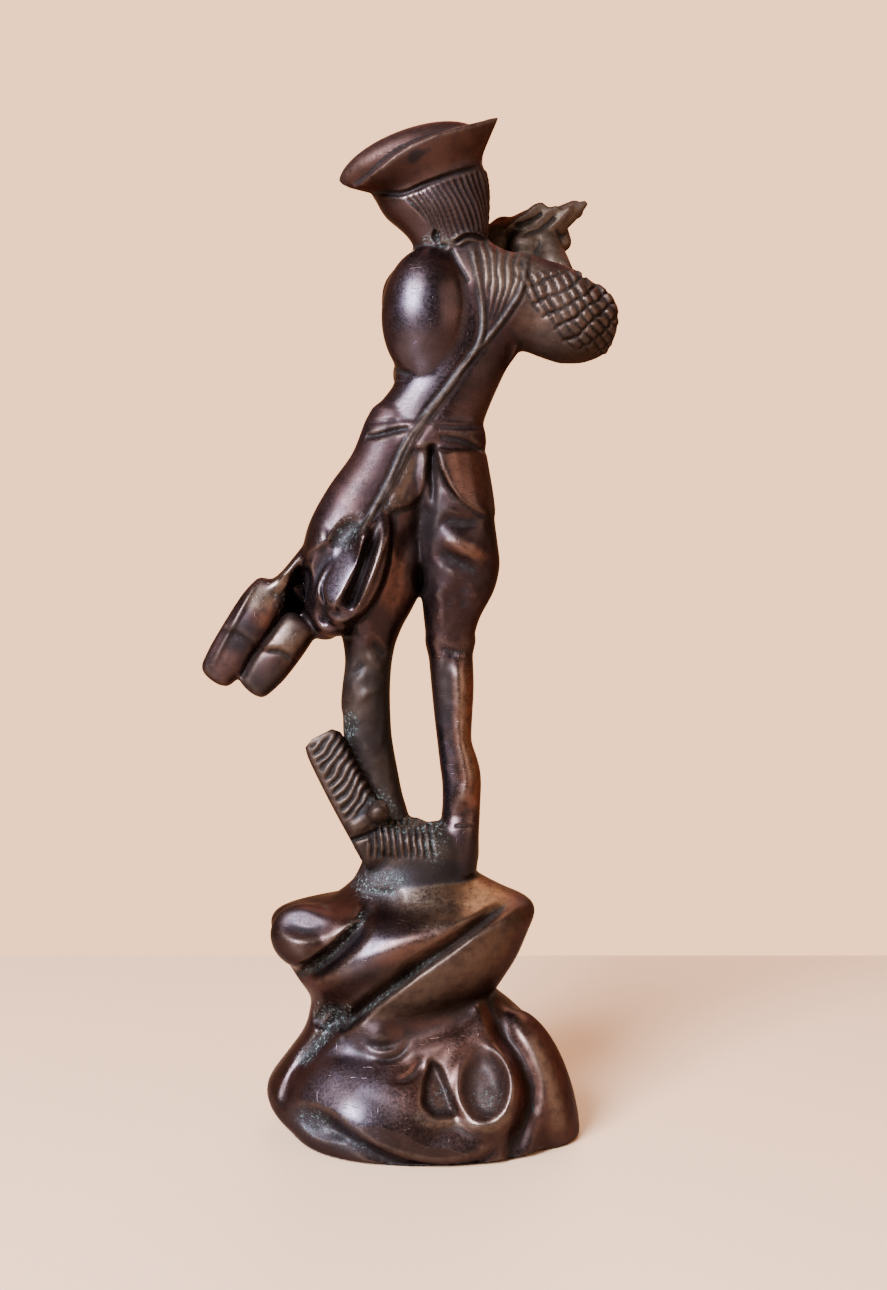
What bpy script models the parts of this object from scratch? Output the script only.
"""A cast souvenir figurine: a fife player in a tricorn hat, standing on a twisted rock.

The figurine is built up the way a small foundry does it: separate castings, each with a
saddle or a socket where it meets the next one, located by hidden dowel pins and brazed.
Nothing on it moves. Lengths below are in millimetres; the scene is in metres.

Frame: +Z is up, the origin is the middle of the base's underside, and the figure faces +Y.
"""

import math

import bmesh
import bpy
from mathutils import Matrix, Vector

MM = 0.001
GAP = 0.3  # clearance that the braze fills between two castings

# Driving heights of the figure, from the table up
ROCK_WAIST = 33.0
ROCK_TOP = 62.3
SHOE_TOP = 79.0
KNEE = 121.0
WAIST = 175.5
NECK = 226.0
HAT_BAND = 246.0  # middle of the hat, which leans with the head

HEAD_TILT = math.radians(-20)  # towards the figure's left shoulder
PIN_RADIUS = 1.5

Y_AXIS = Vector((0, 1, 0))
Z_AXIS = Vector((0, 0, 1))

# Name: colour, roughness. All are bronze, finished differently.
FINISHES = {
    "dark_bronze": ((0.105, 0.062, 0.047, 1), 0.34),
    "worn_bronze": ((0.235, 0.125, 0.082, 1), 0.32),
    "rough_bronze": ((0.085, 0.062, 0.045, 1), 0.5),
    "pin_brass": ((0.55, 0.42, 0.2, 1), 0.35),
}


def clear_scene():
    for obj in list(bpy.data.objects):
        bpy.data.objects.remove(obj, do_unlink=True)


def collection(name):
    made = bpy.data.collections.new(name)
    bpy.context.scene.collection.children.link(made)
    return made


def finish(name):
    made = bpy.data.materials.get(name)
    if made:
        return made
    colour, roughness = FINISHES[name]
    made = bpy.data.materials.new(name)
    made.use_nodes = True
    shader = made.node_tree.nodes["Principled BSDF"]
    shader.inputs["Base Color"].default_value = colour
    shader.inputs["Roughness"].default_value = roughness
    shader.inputs["Metallic"].default_value = 1.0
    return made


def add_object(name, shape, look="dark_bronze"):
    """A new object in the figurine from a bmesh given in millimetres."""
    bmesh.ops.recalc_face_normals(shape, faces=shape.faces)
    bmesh.ops.scale(shape, vec=(MM, MM, MM), verts=shape.verts)
    mesh = bpy.data.meshes.new(name)
    shape.to_mesh(mesh)
    shape.free()
    mesh.shade_smooth()
    obj = bpy.data.objects.new(name, mesh)
    obj.data.materials.append(finish(look))
    FIGURINE.objects.link(obj)
    return obj


def spline(values, steps):
    """Catmull-Rom through equal-length tuples, with steps points for each span."""
    first = [2 * a - b for a, b in zip(values[0], values[1])]
    last = [2 * a - b for a, b in zip(values[-1], values[-2])]
    padded = [first, *values, last]
    points = []
    for i in range(len(values) - 1):
        p0, p1, p2, p3 = padded[i : i + 4]
        for k in range(steps):
            t = k / steps
            points.append(
                [
                    0.5
                    * (
                        2 * b
                        + (c - a) * t
                        + (2 * a - 5 * b + 4 * c - d) * t * t
                        + (3 * b - a - 3 * c + d) * t**3
                    )
                    for a, b, c, d in zip(p0, p1, p2, p3)
                ]
            )
    points.append(list(values[-1]))
    return points


def section(centre, wide, deep, across, depth, sides, power):
    """One closed superellipse, square to the spine, as a list of points."""
    ring = []
    for i in range(sides):
        angle = 2 * math.pi * (i + 0.5) / sides
        c, s = math.cos(angle), math.sin(angle)
        u = math.copysign(abs(c) ** (2 / power), c) * wide
        v = math.copysign(abs(s) ** (2 / power), s) * deep
        ring.append(centre + across * u + depth * v)
    return ring


def loft_shape(stations, sides=14, steps=2, power=2.0, caps=(0.0, 0.0), depth=Y_AXIS):
    """A closed skin over (x, y, z, half width, half depth) stations along a spine.

    caps are the lengths of the rounded ends, and 0 leaves an end flat.
    """
    smooth = spline(stations, steps)
    centres = [Vector(p[:3]) for p in smooth]
    rings = []

    def ring_at(index, shift, scale):
        before = centres[max(index - 1, 0)]
        after = centres[min(index + 1, len(centres) - 1)]
        along = (after - before).normalized()
        deep_axis = (depth - along * depth.dot(along)).normalized()
        across = deep_axis.cross(along)
        centre = centres[index] + along * shift
        wide, deep = smooth[index][3] * scale, smooth[index][4] * scale
        return section(centre, wide, deep, across, deep_axis, sides, power), centre

    cap_angles = [math.radians(a) for a in (62, 32)]
    if caps[0]:
        for angle in cap_angles:
            rings.append(ring_at(0, -caps[0] * math.sin(angle), math.cos(angle))[0])
    for index in range(len(smooth)):
        rings.append(ring_at(index, 0, 1)[0])
    if caps[1]:
        for angle in reversed(cap_angles):
            ring = ring_at(len(smooth) - 1, caps[1] * math.sin(angle), math.cos(angle))
            rings.append(ring[0])
    ends = (
        ring_at(0, -caps[0], 0)[1],
        ring_at(len(smooth) - 1, caps[1], 0)[1],
    )

    shape = bmesh.new()
    verts = [[shape.verts.new(p) for p in ring] for ring in rings]
    for lower, upper in zip(verts, verts[1:]):
        for i in range(sides):
            j = (i + 1) % sides
            shape.faces.new((lower[i], lower[j], upper[j], upper[i]))
    for ring, end, cap in ((verts[0], ends[0], caps[0]), (verts[-1], ends[1], caps[1])):
        if not cap:
            shape.faces.new(ring)
            continue
        pole = shape.verts.new(end)
        for i in range(sides):
            shape.faces.new((ring[i], ring[(i + 1) % sides], pole))
    return shape


def loft(name, stations, look="dark_bronze", **options):
    return add_object(name, loft_shape(stations, **options), look)


def lump_shape(centre, radii, turn=0.0, tilt=0.0):
    """An ellipsoid, turned about Z and tilted about Y."""
    shape = bmesh.new()
    bmesh.ops.create_uvsphere(shape, u_segments=16, v_segments=10, radius=1)
    placed = (
        Matrix.Translation(centre)
        @ Matrix.Rotation(turn, 4, "Z")
        @ Matrix.Rotation(tilt, 4, "Y")
        @ Matrix.Diagonal((*radii, 1))
    )
    bmesh.ops.transform(shape, matrix=placed, verts=shape.verts)
    return shape


def slab(name, low, high):
    """A box between two corners, used to trim other pieces."""
    shape = bmesh.new()
    bmesh.ops.create_cube(shape, size=1)
    size = Vector(high) - Vector(low)
    centre = (Vector(high) + Vector(low)) / 2
    placed = Matrix.Translation(centre) @ Matrix.Diagonal((*size, 1))
    bmesh.ops.transform(shape, matrix=placed, verts=shape.verts)
    return add_object(name, shape)


def outline_cutter(name, points, y_low, y_high):
    """A cutter with an outline in the XZ plane, extruded from y_low to y_high."""
    shape = bmesh.new()
    near = [shape.verts.new((x, y_low, z)) for x, z in points]
    face = shape.faces.new(near)
    made = bmesh.ops.extrude_face_region(shape, geom=[face])
    far = [v for v in made["geom"] if isinstance(v, bmesh.types.BMVert)]
    bmesh.ops.translate(shape, vec=(0, y_high - y_low, 0), verts=far)
    return as_cutter(add_object(name, shape))


def as_cutter(obj):
    """Moves an object to the cutters, which are not part of the figurine."""
    FIGURINE.objects.unlink(obj)
    CUTTERS.objects.link(obj)
    obj.hide_render = True
    obj.display_type = "WIRE"
    return obj


def boolean(target, other, operation):
    modifier = target.modifiers.new(f"{operation.lower()}_{other.name}", "BOOLEAN")
    modifier.operation = operation
    modifier.object = other
    modifier.solver = "EXACT"


def melt(name, shapes, look="dark_bronze", grain=1.2, triangles=700):
    """One casting from overlapping shapes, melted into a rounded skin of about that many triangles."""
    whole = bmesh.new()
    for shape in shapes:
        lump = bpy.data.meshes.new("lump")
        shape.to_mesh(lump)
        shape.free()
        whole.from_mesh(lump)
    obj = add_object(name, whole, look)
    remesh = obj.modifiers.new("melt", "REMESH")
    remesh.mode = "VOXEL"
    remesh.voxel_size = grain * MM
    rounding = obj.modifiers.new("round", "SMOOTH")
    rounding.factor = 0.5
    rounding.iterations = 3
    settle(obj)
    thin = obj.modifiers.new("thin", "DECIMATE")
    thin.ratio = min(1.0, triangles / (2 * len(obj.data.polygons)))
    return settle(obj)


def settle(obj):
    """Applies an object's modifiers, so that its shape can be copied into a cutter."""
    bpy.context.view_layer.update()
    graph = bpy.context.evaluated_depsgraph_get()
    mesh = bpy.data.meshes.new_from_object(obj.evaluated_get(graph), depsgraph=graph)
    obj.modifiers.clear()
    obj.data = mesh
    return obj


def grown(obj):
    """A cutter with the object's shape, GAP larger all over."""
    name = f"room_for_{obj.name}"
    if name in bpy.data.objects:
        return bpy.data.objects[name]
    copy = bpy.data.objects.new(name, obj.data.copy())
    FIGURINE.objects.link(copy)
    swell = copy.modifiers.new("swell", "DISPLACE")
    swell.mid_level = 0
    swell.strength = GAP * MM
    return as_cutter(settle(copy))


def make_room(piece, *neighbours):
    """Cuts the piece back from its neighbours, leaving GAP for the braze."""
    for neighbour in neighbours:
        boolean(piece, grown(neighbour), "DIFFERENCE")
    return piece


def cut(piece, cutter):
    boolean(piece, cutter, "DIFFERENCE")
    return piece


def trim(piece, low=None, high=None):
    """Cuts a piece off level, below the height low or above the height high."""
    if low is not None:
        cut(piece, as_cutter(slab(f"below_{piece.name}", (-90, -90, low - 60), (90, 90, low))))
    if high is not None:
        cut(piece, as_cutter(slab(f"above_{piece.name}", (-90, -90, high), (90, 90, high + 60))))
    return settle(piece)


# ---------------------------------------------------------------- rock


def rock_ledge():
    """The upper tier: a leaning slab with a bulb on the left and two climbing bands."""
    core = [
        (-4, 1, 29, 21, 16),
        (-4, 0, 35, 23, 18),
        (-4, 0, 42, 26, 19),
        (-3, 0, 49, 27, 20),
        (-1, 0, 55, 25, 19),
        (0, 1, 60, 19, 17),
        (0, 2, 65, 14, 13),
    ]
    front_band = [
        (-27, -7, 38, 6, 6),
        (-15, -15, 43, 7.5, 7),
        (-4, -17, 48.5, 7, 7),
        (9, -15, 52, 6, 6),
        (19, -9, 54.5, 5, 5),
        (26, -3, 55.6, 3.4, 3.4),
    ]
    under_band = [
        (-18, -12, 27.5, 4, 4),
        (-9, -14, 33, 6.5, 6),
        (2, -14.5, 37, 9, 7),
        (13, -11, 42, 10, 8),
        (21, -4, 48, 8, 8),
    ]
    shapes = [
        loft_shape(core, power=2.3),
        lump_shape((-30.6, -4, 48.4), (8.8, 9.4, 7.6), 0.2, -0.3),
        loft_shape(front_band, caps=(3, 2)),
        loft_shape(under_band, caps=(2, 3)),
    ]
    rock = melt("rock_ledge", shapes, "worn_bronze", 1.4, 900)
    return trim(rock, high=ROCK_TOP)


def rock_base(ledge):
    """The lower tier: four lobes on a flat foot."""
    core = [
        (2, -1, -6, 34, 28),
        (1.5, -1, 1, 37.4, 30),
        (-0.4, -1, 8.5, 39.2, 30),
        (0, -0.5, 15, 36, 27),
        (0.4, 0, 22, 30.6, 22.5),
        (-2.5, 0.5, 29, 25.4, 18.5),
        (-4, 1, 36, 22, 16.5),
    ]
    shapes = [
        loft_shape(core, power=2.1),
        lump_shape((-6, -11, 9), (29, 21.5, 17), 0.0, 0.12),
        lump_shape((30, -5, 6), (9, 15, 21), 0.1, -0.25),
        lump_shape((15, -17, 11), (12, 11, 13), 0.3),
    ]
    rock = melt("rock_base", shapes, "worn_bronze", 1.5, 1000)
    return make_room(trim(rock, low=0), ledge)


def bark_log():
    """A cut log leaning on the figure's left, with a stub, on the ground underfoot."""
    leaning = [
        (-26.6, -7, 98.5, 5.1, 4.2),
        (-21.5, -7, 87.5, 5.2, 4.6),
        (-16, -6.5, 77.5, 5.8, 5.2),
        (-12, -5.5, 69.5, 7, 6),
    ]
    lying = [
        (-15, -4, 68.5, 6, 6.5),
        (-9, -3.5, 70.5, 7.3, 7.5),
        (-2, -3, 70, 7.3, 8),
        (5, -2, 69.5, 7.5, 8),
    ]
    ground = [
        (-1.5, 3, ROCK_TOP - 3, 17.5, 16),
        (-1.5, 3.5, ROCK_TOP + 2.5, 17, 16.5),
        (-1.5, 4, ROCK_TOP + 4.2, 14.5, 15),
    ]
    shapes = [
        loft_shape(leaning, caps=(1.2, 3), power=3, sides=12),
        loft_shape(lying, caps=(3, 3), power=2.4),
        lump_shape((-12.2, -9.5, 81.5), (3.4, 3.2, 3.6)),
        loft_shape(ground, power=2.4),
    ]
    log = melt("bark_log", shapes, "rough_bronze", 1.2, 700)
    return trim(log, low=ROCK_TOP + GAP)


# ---------------------------------------------------------------- legs


def breeches():
    """Hips and both thighs, baggy at the right knee."""
    hips = [
        (0.5, 0, WAIST + 4, 14.4, 10),
        (0, 0, 168, 15, 11),
        (0, 0, 160, 15.8, 11.6),
        (1, 0.3, 153, 16.4, 11.6),
        (1.2, 0.5, 149, 14, 10),
    ]
    left_thigh = [
        (-7.5, 0, 156, 9.5, 10.5),
        (-8.8, 0, 147, 9.4, 10),
        (-10.4, -0.4, 137, 9.2, 9.2),
        (-12.2, -0.5, 128, 7.8, 8),
        (-13.4, -0.5, KNEE + 1, 6.7, 7.2),
    ]
    right_thigh = [
        (9.6, 0.4, 156, 9.6, 11),
        (10.9, 0.5, 148, 9.4, 11),
        (11.2, 0.5, 141, 9.2, 10.4),
        (9.4, 0.2, 131.5, 8, 8.8),
        (7.8, 0, 124.4, 5.7, 6.4),
    ]
    shapes = [
        loft_shape(hips, caps=(0, 2), power=2.2),
        loft_shape(left_thigh, caps=(4, 0)),
        loft_shape(right_thigh, caps=(4, 1)),
    ]
    return trim(melt("breeches", shapes, grain=1.2, triangles=640), high=WAIST - GAP)


def right_leg():
    stocking = [
        (8.1, 0, KNEE, 5.6, 6.3),
        (8.0, 0, 113, 5.7, 6.4),
        (8.1, 0, 105, 5.3, 6.2),
        (8.4, 0, 98, 4.9, 5.8),
        (9.7, -0.5, 91, 5.3, 6.3),
        (10.2, -0.5, 85, 5.3, 6.4),
        (10.1, 0, SHOE_TOP + GAP, 5.0, 6.1),
    ]
    return loft("right_leg", stocking, "worn_bronze", power=2.5, sides=12)


def left_leg():
    stocking = [
        (-12.9, -0.5, KNEE + 4, 6.4, 6.9),
        (-13.5, -0.5, 114, 6.3, 6.6),
        (-13.8, -0.5, 106, 6.6, 6.6),
        (-13.0, -0.4, 97, 6.5, 6.3),
        (-11.4, 0.5, 89, 6.1, 6),
        (-9.4, 1.8, 81, 5.7, 5.7),
        (-8.4, 3, SHOE_TOP - 2, 5.5, 5.6),
    ]
    return loft("left_leg", stocking, "rough_bronze", power=2.4, sides=12, caps=(0, 0))


def right_garter():
    band = [
        (7.6, 0, KNEE + 3.2, 5.9, 6.6),
        (7.9, 0, KNEE + 1.2, 6.5, 7.2),
        (8.1, 0, KNEE - 1.4, 6.2, 6.9),
    ]
    return loft("right_garter", band, caps=(0.6, 0.6))


def shoe(name, ankle, toe, look):
    """A low shoe: a collar round the ankle and a foot that runs forward to the toe."""
    ax, ay, top = ankle
    tx, ty = toe
    sole = ROCK_TOP + 3.6
    collar = [
        (ax, ay, top, 4.9, 6),
        (ax, ay + 0.3, top - 6, 4.9, 6.4),
        (ax, ay + 0.8, sole + 1, 5.1, 7),
    ]
    foot = [
        (ax, ay - 3, sole + 4.2, 4.7, 4),
        (ax, ay + 4, sole + 4.4, 5, 4.5),
        ((ax + tx) / 2, (ay + ty) / 2 + 2, sole + 3.6, 5, 3.7),
        (tx, ty, sole + 2.8, 3.9, 2.9),
    ]
    shapes = [
        loft_shape(collar, power=2.4, sides=12),
        loft_shape(foot, depth=Z_AXIS, caps=(3, 2.5), sides=12),
    ]
    return melt(name, shapes, look, 0.9, 320)


# ---------------------------------------------------------------- coat


def coat_body():
    torso = [
        (-1, 0, 171, 15.2, 10.6),
        (2.6, 0, 183, 13.6, 10.2),
        (7, 0.5, 190, 12.8, 10.4),
        (10, 0.8, 197, 12.6, 11),
        (11, 1, 205, 13.2, 11.6),
        (10.4, 1.5, 213, 13.4, 11.2),
        (8.6, 1.5, 220.5, 11, 9.6),
        (7.5, 1.5, NECK + 2, 8.2, 7.6),
    ]
    return trim(loft("coat_body", torso, sides=16), low=WAIST, high=NECK)


def belt():
    band = [
        (0.8, 0, WAIST + 3.6, 16, 11.8),
        (0.6, 0, WAIST + 1.8, 17, 12.8),
        (0.2, 0, WAIST - 1.6, 17.2, 12.8),
        (0.2, 0, WAIST - 3.2, 16.4, 12.2),
    ]
    return loft("belt", band, sides=20, steps=1)


def skirt_solid(name):
    """The left side of the coat's skirt, uncut: it sweeps out to the left."""
    stations = [
        (-0.6, 0, WAIST - 2.0, 15.9, 11.6),
        (-4.5, -0.6, 167, 16.6, 12.8),
        (-8.8, -1.1, 160, 17.4, 13.8),
        (-13, -1.6, 152, 17.5, 13.9),
        (-17, -1.8, 145, 16.2, 12.6),
        (-19.6, -1.8, 138, 14.3, 10.8),
    ]
    return loft(name, stations, sides=18)


def left_coat_tail():
    """The flaring tail, hollow below, with a curved vent at the back."""
    tail = skirt_solid("left_coat_tail")
    vent_and_hem = [
        (2.2, 180),
        (1.6, 169),
        (-1.5, 161),
        (-5.5, 155.5),
        (-11, 152.8),
        (-18.5, 156.5),
        (-28.5, 147.2),
        (-35.5, 139.6),
        (-36, 120),
        (30, 120),
        (30, 180),
    ]
    settle(cut(tail, outline_cutter("tail_outline", vent_and_hem, -40, 40)))
    hollow = lump_shape((-20.5, -1.8, 147), (10.4, 9.4, 12.5), 0, 0.45)
    cut(tail, as_cutter(add_object("tail_hollow", hollow)))
    return trim(tail, high=WAIST - 2.5)


def coat_hem():
    """The tail's turned-back hem, open to the back, that the spare shoes hang from."""
    hem = [
        (-22, -2, 153, 7, 8),
        (-26, -2.4, 145, 9.6, 9),
        (-28.6, -2.8, 137, 9.4, 8.6),
        (-28, -3.2, 130.5, 8.2, 7.8),
        (-26, -3.4, 126.4, 5.6, 6.4),
    ]
    piece = loft("coat_hem", hem, sides=16, caps=(2, 1))
    cave = lump_shape((-31.4, -9, 137.6), (4.2, 9, 8.6), 0, 0.1)
    return settle(cut(piece, as_cutter(add_object("hem_cave", cave))))


def right_coat_flap():
    """The short flap over the right hip, with a scooped edge at the vent."""
    flap = [
        (1.2, 0, WAIST - 2.0, 15.4, 11.6),
        (1.6, 0, 167, 16.1, 12.4),
        (1.9, 0.2, 161, 16.9, 12.9),
        (2, 0.3, 154.4, 17.6, 13.6),
    ]
    piece = loft("right_coat_flap", flap, "worn_bronze", sides=20)
    scoop = [
        (3.6, 180),
        (4.4, 169),
        (6.6, 163),
        (10, 158.4),
        (14.5, 155.8),
        (20, 155),
        (30, 154.8),
        (30, 140),
        (-30, 140),
        (-30, 180),
    ]
    return cut(piece, outline_cutter("flap_outline", scoop, -40, 40))


# ---------------------------------------------------------------- arms, hands and fife


def left_arm():
    upper = [
        (2.5, 0, 222, 6.4, 6.4),
        (-0.3, -3, 216, 9, 8.6),
        (-0.6, -4.5, 208, 10.2, 9.4),
        (-0.2, -5, 200, 9.2, 8.8),
        (0.8, -4, 193, 7.4, 7.4),
    ]
    fore = [
        (0.4, -3.4, 193.6, 6.2, 6.2),
        (-3, 3, 193.6, 6.4, 6.2),
        (-4, 9.5, 195, 6.2, 6),
        (-1.5, 15.5, 199.6, 5.8, 5.6),
        (5, 19.5, 209, 5.4, 5.2),
        (13, 21, 220, 5, 5),
        (18.6, 21, 227.6, 4.7, 4.7),
    ]
    shapes = [
        loft_shape(upper, caps=(3, 2.5)),
        loft_shape(fore, depth=Vector((1, 0, 0)), caps=(3, 0)),
    ]
    return melt("left_arm", shapes, grain=1.1, triangles=460)


def right_arm():
    upper = [
        (14, -0.5, 212.6, 11, 9.4),
        (22, 0, 212.4, 13, 10.2),
        (31, 1, 210.6, 12.2, 9.6),
        (39, 2, 208.2, 12.6, 9.6),
        (45, 3.4, 208, 10.9, 9),
    ]
    fore = [
        (42, 5, 209, 8, 7.5),
        (42.2, 13, 214, 7, 6.8),
        (41.4, 18.6, 222, 5, 4.8),
        (40, 21.4, 228.6, 4, 3.8),
    ]
    shapes = [
        loft_shape(upper, caps=(2, 6), sides=16),
        loft_shape(fore, caps=(3, 0)),
    ]
    return melt("right_arm", shapes, "worn_bronze", 1.1, 460)


def fife():
    """The blowing end is at the lips and the far end points up and to the right."""
    bore_line = [
        (-2.5, 14.4, 226.6, 1.9, 1.9),
        (10, 18.4, 231, 2.0, 2.0),
        (24, 22.9, 236, 2.1, 2.1),
        (36, 26.4, 241, 2.3, 2.3),
        (43, 28.4, 244, 2.6, 2.6),
    ]
    return loft("fife", bore_line, "rough_bronze", sides=12, caps=(0.8, 1.8))


def right_hand():
    palm = [
        (39.6, 21.6, 229.4, 3.4, 3.2),
        (37.2, 23, 232.6, 4.2, 3.6),
        (35.6, 24.6, 236.4, 4.8, 4),
        (34.6, 26, 239.8, 4.6, 3.6),
    ]
    return loft("right_hand", palm, "rough_bronze", caps=(0, 2.2))


def left_hand():
    palm = [
        (18.8, 21.2, 228, 3.8, 3.6),
        (20.6, 21.8, 231.6, 5.2, 4.2),
        (22.4, 22.4, 235, 5.4, 4.4),
        (23.4, 23, 238, 3.8, 3.4),
    ]
    return loft("left_hand", palm, "rough_bronze", caps=(0, 1.8))


# ---------------------------------------------------------------- head and hat


def head():
    skull = [
        (7.6, 1, NECK - 2, 9.4, 8.2),
        (6.7, 1.2, 229.6, 10, 9.6),
        (5.1, 1.6, 234.2, 11.8, 12),
        (3.1, 2, 239.6, 13.8, 13.4),
        (1.4, 2, 244, 13.4, 13.2),
        (0.4, 2, 247.6, 10, 10),
    ]
    return trim(loft("head", skull, sides=16, caps=(0, 3)), low=NECK + GAP)


def hat():
    """A low crown that fills a brim cocked up on three sides, leaning with the head."""
    # Turn about the hat's own axis from +X, rim radius, rim height above the hat's middle
    rim = [
        (-24, 24.3, 3.2),
        (-52, 19.2, 3.4),
        (-92, 17.0, 2.4),
        (-125, 17.8, 1.0),
        (-150, 19.2, 1.6),
        (-170, 20.6, 3.4),
        (-200, 18.4, 4.2),
        (-235, 17.4, 4.0),
        (-275, 23.4, 3.6),
        (-312, 17.6, 4.0),
        (-345, 18.6, 3.8),
        (-384, 24.3, 3.2),
    ]
    foot_radius, foot_height = 12.4, -7.6
    # Share of the rim's radius, rise above the line from the rim to the middle
    crown = [(0.93, 0.6), (0.8, 2.9), (0.6, 5.8), (0.36, 7.6), (0.15, 8.4)]
    middle = 3.2
    place = Matrix.Translation((-1, 2, HAT_BAND)) @ Matrix.Rotation(HEAD_TILT, 4, "Y")
    shape = bmesh.new()
    rows = []
    for turn, radius, height in spline(rim, 3)[:-1]:
        outward = Vector((math.cos(math.radians(turn)), math.sin(math.radians(turn)), 0))
        column = [outward * foot_radius + Z_AXIS * foot_height]
        column.append(outward * (foot_radius + 0.4 * (radius - foot_radius)) + Z_AXIS * -4.4)
        column.append(outward * radius + Z_AXIS * height)
        for share, rise in crown:
            level = height * share + middle * (1 - share) + rise
            column.append(outward * radius * share + Z_AXIS * level)
        rows.append([shape.verts.new(place @ point) for point in column])
    for here, after in zip(rows, rows[1:] + rows[:1]):
        for k in range(len(here) - 1):
            shape.faces.new((here[k], here[k + 1], after[k + 1], after[k]))
    shape.faces.new([row[0] for row in rows])
    shape.faces.new([row[-1] for row in reversed(rows)])
    return add_object("hat", shape, "worn_bronze")


def neckcloth():
    wrap = [
        (7.6, 1.2, NECK - 2.6, 9.8, 9.4),
        (7.5, 1.2, NECK - 0.8, 11, 10.4),
        (7.3, 1.2, NECK + 1.4, 11, 10.4),
        (7.1, 1.2, NECK + 2.8, 10.3, 9.8),
    ]
    return loft("neckcloth", wrap, sides=16, steps=1)


# ---------------------------------------------------------------- sling, pouch and spare shoes


def sling_back():
    """The cloth sling down the back: pleated at the shoulder, a cord by the left hip."""
    back = [
        (15, -3, 224.5, 5.4, 4),
        (14.4, -7, 219, 6.2, 5),
        (13.6, -8.2, 212, 6, 5.4),
        (10.4, -8.6, 204, 4.4, 5.2),
        (6, -8.8, 196.4, 3.2, 5),
        (0, -8.6, 186.4, 2.5, 4.8),
        (-4.2, -8.6, 178.6, 2.3, 4.8),
        (-9, -9.4, 170.6, 2.2, 5.2),
        (-13, -10.6, 162, 2.2, 5.4),
        (-15.4, -11, 157.6, 2.4, 4.8),
    ]
    return loft("sling_back", back, "rough_bronze", sides=10, caps=(1.5, 1.2))


def sling_chest():
    """The sling across the chest, from the shoulder to behind the left forearm."""
    front = [
        (12.6, 9, 218.5, 4.4, 4.6),
        (11, 10.6, 212, 4.2, 5),
        (7.4, 11, 206, 3.4, 5),
    ]
    return loft("sling_chest", front, "rough_bronze", sides=10, caps=(1.5, 1.5))


def sling_waist():
    """The sling's front end, from below the left forearm to the belt."""
    front = [
        (-0.6, 9.6, 189.5, 2.6, 5),
        (-3.6, 8.8, 185.4, 2.5, 5),
        (-6.8, 7.6, 181.4, 2.4, 5),
    ]
    return loft("sling_waist", front, "rough_bronze", sides=10, caps=(1.2, 1.2))


def pouch():
    bag = [
        (-14.2, -14.6, 157.4, 3, 2.6),
        (-15.4, -15.4, 153, 6.4, 4.2),
        (-17.6, -16, 147, 9.2, 5.4),
        (-19, -16, 140.6, 9.4, 6),
        (-20.6, -15.6, 133.6, 8.2, 6),
        (-22.4, -15, 128, 6.4, 5),
    ]
    return loft("pouch", bag, caps=(1.5, 2.2), sides=16)


def spare_shoe(name, line, look):
    """A spare shoe slung by the coat-tail, its sole to the back."""
    return loft(name, line, look, power=2.8, sides=14, caps=(1.6, 1.8))


LEFT_SPARE = [
    (-38.4, -1.6, 137, 4.6, 4.8),
    (-41, -2.6, 133, 5.4, 5.6),
    (-45.2, -3.2, 126.4, 5.4, 5.4),
    (-49.4, -3.6, 119.4, 5.3, 5),
    (-52.4, -3.8, 115.2, 4.4, 4),
]
RIGHT_SPARE = [
    (-30.8, -3, 128, 4.6, 5),
    (-34.2, -3.4, 123.6, 5.1, 5.4),
    (-39.2, -3.8, 117, 5.1, 5.2),
    (-43, -4.2, 112.6, 4.4, 4),
]


# ---------------------------------------------------------------- hidden dowels


def pin(name, centre, direction, length):
    """A straight brass dowel across the joint between two castings."""
    shape = bmesh.new()
    bmesh.ops.create_cone(
        shape,
        cap_ends=True,
        segments=12,
        radius1=PIN_RADIUS,
        radius2=PIN_RADIUS,
        depth=length,
    )
    turn = Vector(direction).to_track_quat("Z", "Y").to_matrix().to_4x4()
    placed = Matrix.Translation(centre) @ turn
    bmesh.ops.transform(shape, matrix=placed, verts=shape.verts)
    return add_object(name, shape, "pin_brass")


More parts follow.
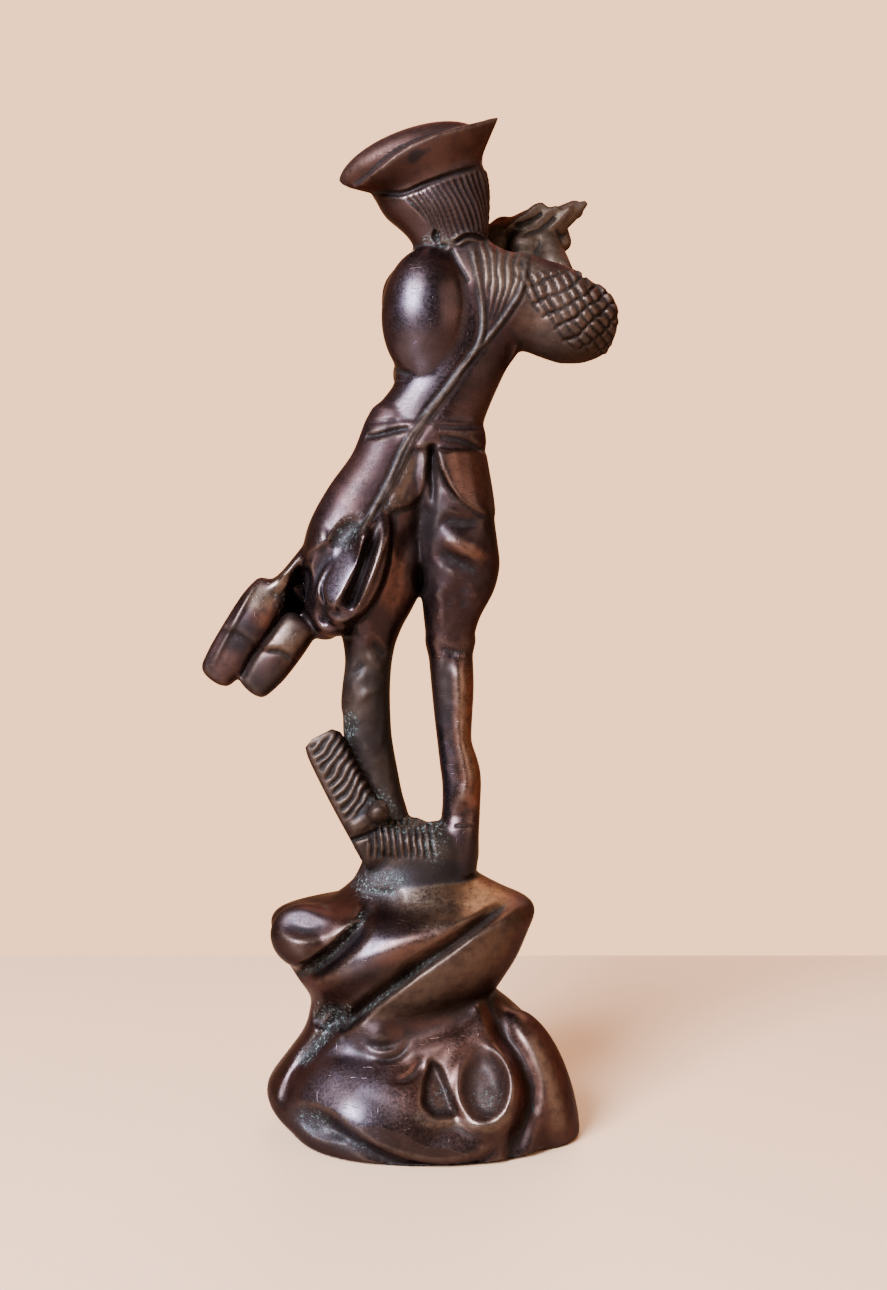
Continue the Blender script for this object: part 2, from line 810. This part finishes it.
def build():
    hat_pin = pin("hat_pin", (1.2, 2, 250.5), (-0.33, 0, 0.94), 9)
    neck_pin = pin("neck_pin", (7.2, 1.4, NECK), Z_AXIS, 12)
    right_arm_pin = pin("right_arm_pin", (22, 0.5, 212), (1, 0, 0), 13)
    right_foot_pin = pin("right_foot_pin", (10, 0, SHOE_TOP), Z_AXIS, 12)
    left_knee_pin = pin("left_knee_pin", (-12.8, -0.5, KNEE + 2.5), Z_AXIS, 12)
    right_knee_pin = pin("right_knee_pin", (8, 0, KNEE + 2), Z_AXIS, 12)
    waist_pin = pin("waist_pin", (0.5, 0, WAIST), Z_AXIS, 16)
    rock_pin = pin("rock_pin", (-2, 0, ROCK_WAIST - 2), Z_AXIS, 18)
    ground_pin = pin("ground_pin", (2, 7, ROCK_TOP - 2), Z_AXIS, 12)

    ledge = rock_ledge()
    base = rock_base(ledge)
    log = bark_log()
    make_room(ledge, rock_pin, ground_pin, log)
    make_room(base, rock_pin)

    hips = breeches()
    leg_right, leg_left = right_leg(), left_leg()
    garter = right_garter()
    shoe_right = shoe("right_shoe", (10, 0, SHOE_TOP), (10.6, 17), "dark_bronze")
    shoe_left = shoe("left_shoe", (-8.2, 3.4, SHOE_TOP - 1.5), (-9.6, 19), "rough_bronze")
    make_room(leg_right, right_knee_pin, right_foot_pin, shoe_right)
    make_room(leg_left, left_knee_pin, hips, shoe_left)
    make_room(garter, leg_right, hips, right_knee_pin)
    make_room(hips, left_knee_pin, right_knee_pin, waist_pin, leg_right)
    make_room(shoe_right, right_foot_pin)
    make_room(log, leg_right, leg_left, shoe_right, shoe_left, ground_pin)

    torso = coat_body()
    waistband = belt()
    tail = left_coat_tail()
    flap = right_coat_flap()
    make_room(waistband, torso, hips)
    make_room(tail, hips, waistband, torso)
    make_room(flap, hips, waistband, torso)

    arm_left, arm_right = left_arm(), right_arm()
    flute = fife()
    hand_right, hand_left = right_hand(), left_hand()
    skull, tricorn, scarf = head(), hat(), neckcloth()
    make_room(torso, waist_pin, neck_pin, right_arm_pin)
    make_room(arm_right, torso, right_arm_pin)
    make_room(arm_left, torso, waistband)
    make_room(hand_right, flute, arm_right)
    make_room(hand_left, flute, arm_left)
    make_room(flute, skull)
    make_room(skull, neck_pin, hat_pin)
    make_room(tricorn, skull, hat_pin)
    make_room(scarf, torso, skull, arm_left, arm_right)

    strap, chest_strap, waist_strap, bag = sling_back(), sling_chest(), sling_waist(), pouch()
    tail_body = as_cutter(settle(skirt_solid("tail_body")))
    for piece in (strap, chest_strap, waist_strap):
        make_room(piece, torso, waistband, tail_body, arm_left, arm_right, scarf, hips)
    make_room(bag, strap, tail_body, hips)

    spare_left = spare_shoe("left_spare_shoe", LEFT_SPARE, "dark_bronze")
    spare_right = spare_shoe("right_spare_shoe", RIGHT_SPARE, "worn_bronze")
    hem = coat_hem()
    make_room(spare_left, tail_body)
    make_room(spare_right, spare_left, tail_body, bag)
    make_room(hem, tail_body, hips, bag, spare_left, spare_right)


clear_scene()
FIGURINE = collection("souvenir_figurine")
CUTTERS = collection("cutters")
build()
